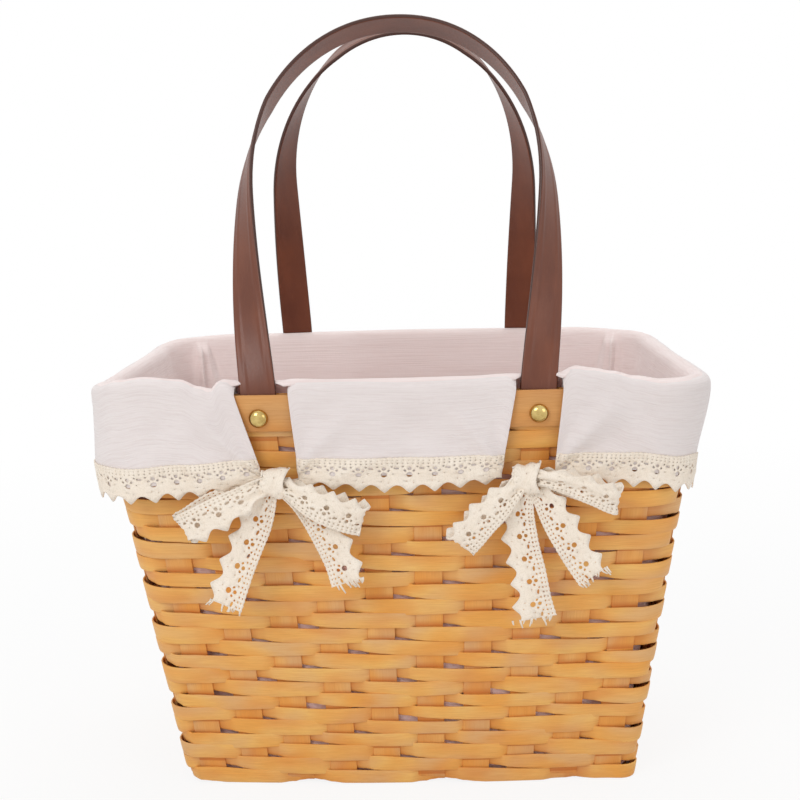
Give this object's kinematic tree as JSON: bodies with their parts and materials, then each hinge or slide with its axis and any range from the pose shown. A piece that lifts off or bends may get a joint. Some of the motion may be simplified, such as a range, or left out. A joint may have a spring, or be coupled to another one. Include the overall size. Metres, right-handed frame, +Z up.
{
  "type": "splint basket",
  "caption": "Rectangular woven splint basket with flared sides, twin strap handles and a cloth liner folded over the rim with lace hems and bows.",
  "frame": {"origin": "on the floor, under the middle of the whole object's bounding box", "axes": "+X along the long side to the right, +Y to the back, +Z up; the pictured front faces -Y"},
  "size_m": [0.3264, 0.2288, 0.4023],
  "materials": {
    "stake_splint": "thin flat upright splints of light wood, oiled, grain along the length",
    "weaver_splint": "narrow woven splints of light wood, oiled, grain along the length",
    "rim_wood": "bent wooden hoop, smooth satin",
    "strap_leather": "glossy brown strap with two fine raised lines",
    "rivet_brass": "polished domed brass",
    "liner_cloth": "off-white cotton with a slight slub, matt",
    "lace": "cream cotton lace, openwork with scalloped edge"
  },
  "bodies": {
    "basket_body": {"bow_back_left": "lace", "bow_back_right": "lace", "bow_front_left": "lace", "bow_front_right": "lace", "cross_stake_1": "stake_splint", "cross_stake_10": "stake_splint", "cross_stake_2": "stake_splint", "cross_stake_3": "stake_splint", "cross_stake_4": "stake_splint", "cross_stake_5": "stake_splint", "cross_stake_6": "stake_splint", "cross_stake_7": "stake_splint", "cross_stake_8": "stake_splint", "cross_stake_9": "stake_splint", "handle_end_back_left": "strap_leather", "handle_end_back_right": "strap_leather", "handle_end_front_left": "strap_leather", "handle_end_front_right": "strap_leather", "lace_hem_back": "lace", "lace_hem_front": "lace", "lace_hem_left": "lace", "lace_hem_right": "lace", "liner_bag": "liner_cloth", "liner_skirt_back": "liner_cloth", "liner_skirt_front": "liner_cloth", "liner_skirt_left": "liner_cloth", "liner_skirt_right": "liner_cloth", "long_stake_1": "stake_splint", "long_stake_2": "stake_splint", "long_stake_3": "stake_splint", "long_stake_4": "stake_splint", "long_stake_5": "stake_splint", "long_stake_6": "stake_splint", "rim_band_inner": "rim_wood", "rim_band_outer": "rim_wood", "rivet_back_left": "rivet_brass", "rivet_back_right": "rivet_brass", "rivet_front_left": "rivet_brass", "rivet_front_right": "rivet_brass", "rivet_washer_back_left": "rivet_brass", "rivet_washer_back_right": "rivet_brass", "rivet_washer_front_left": "rivet_brass", "rivet_washer_front_right": "rivet_brass", "weaver_1": "weaver_splint", "weaver_2": "weaver_splint", "weaver_3": "weaver_splint", "weaver_4": "weaver_splint", "weaver_5": "weaver_splint", "weaver_6": "weaver_splint", "weaver_7": "weaver_splint", "weaver_8": "weaver_splint", "weaver_9": "weaver_splint"},
    "front_handle_arch": {"front_handle": "strap_leather"},
    "back_handle_arch": {"back_handle": "strap_leather"}
  },
  "joints": [
    {"name": "front_handle_lean", "type": "hinge", "parent": "basket_body", "child": "front_handle_arch", "pos_m": [0, -0.09994, 0.2175], "axis": [1, 0, 0], "range_deg": [-7, 61], "stiffness_Nm_per_rad": 0.4, "springref_deg": 0.86},
    {"name": "back_handle_lean", "type": "hinge", "parent": "basket_body", "child": "back_handle_arch", "pos_m": [0, 0.09994, 0.2175], "axis": [-1, 0, 0], "range_deg": [-9, 59], "stiffness_Nm_per_rad": 0.4, "springref_deg": 0.78}
  ]
}
